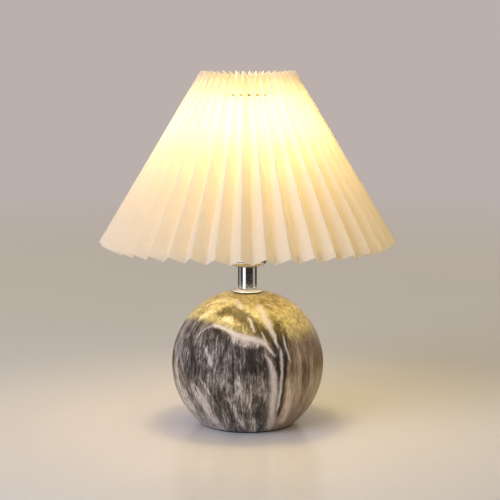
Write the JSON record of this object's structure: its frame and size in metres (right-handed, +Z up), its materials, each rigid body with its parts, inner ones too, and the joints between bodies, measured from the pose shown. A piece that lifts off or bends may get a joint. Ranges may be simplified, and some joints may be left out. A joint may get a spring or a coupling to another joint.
{
  "type": "bedside lamp",
  "caption": "Bedside lamp with a marbled ceramic ball base, a short chrome neck and a conical pleated fabric shade that can be swivelled; the bulb unscrews.",
  "frame": {"origin": "on the table under the lamp's axis", "axes": "+Z up the lamp's axis, -Y the front, cable inlet at the back (+Y)"},
  "size_m": [0.2918, 0.2918, 0.35],
  "materials": {
    "foot_rubber": "black foam rubber, matte",
    "black_rubber": "black rubber, matte",
    "marbled_ceramic": "marbled grey and white glaze, glossy",
    "chrome": "polished chrome",
    "steel": "zinc-plated steel",
    "brass": "plain brass",
    "porcelain": "white lampholder porcelain",
    "ring_plastic": "black moulded resin",
    "frame_paint": "white powder coat on steel wire",
    "shade_fabric": "ivory pleated cotton blend",
    "drawstring": "tan twisted cord",
    "bulb_nickel": "nickel-plated shell",
    "bulb_black": "black insulator",
    "bulb_white": "white moulded housing",
    "led_board": "white-coated aluminium board",
    "opal": "opal diffuser"
  },
  "bodies": {
    "base": {"foot_pad": "foot_rubber", "ceramic_ball": "marbled_ceramic", "plate_gasket": "black_rubber", "bottom_plate": "steel", "lock_washer": "steel", "bottom_nut": "steel", "threaded_rod": "steel", "cable_grommet": "black_rubber", "collar_gasket": "black_rubber", "neck_collar": "chrome", "neck_tube": "chrome", "holder_cap": "chrome", "cap_locknut": "steel", "holder_insulator": "porcelain", "terminal_blocks": "brass", "terminal_screws": "steel", "screw_shell": "brass", "centre_contact": "brass", "holder_skirt": "chrome"},
    "shade": {"carrier_ring": "frame_paint", "spider_arms": "frame_paint", "bottom_ring": "frame_paint", "frame_ribs": "frame_paint", "top_ring": "frame_paint", "shade_fabric": "shade_fabric", "drawstring": "drawstring"},
    "ring": {"shade_ring": "ring_plastic"},
    "bulb": {"bulb_contact": "steel", "bulb_insulator": "bulb_black", "bulb_cap": "bulb_nickel", "bulb_housing": "bulb_white", "led_board": "led_board", "bulb_diffuser": "opal"}
  },
  "joints": [
    {"name": "shade_swivel", "type": "hinge", "parent": "base", "child": "shade", "pos_m": [0, 0, 0.183], "axis": [0, 0, 1], "continuous": true},
    {"name": "shade_ring_turn", "type": "hinge", "parent": "base", "child": "ring", "pos_m": [0, 0, 0.1846], "axis": [0, 0, 1], "range_deg": [0, 1980]},
    {"name": "bulb_turn", "type": "hinge", "parent": "base", "child": "bulb", "pos_m": [0, 0, 0.1935], "axis": [0, 0, 1], "range_deg": [0, 1080]}
  ]
}
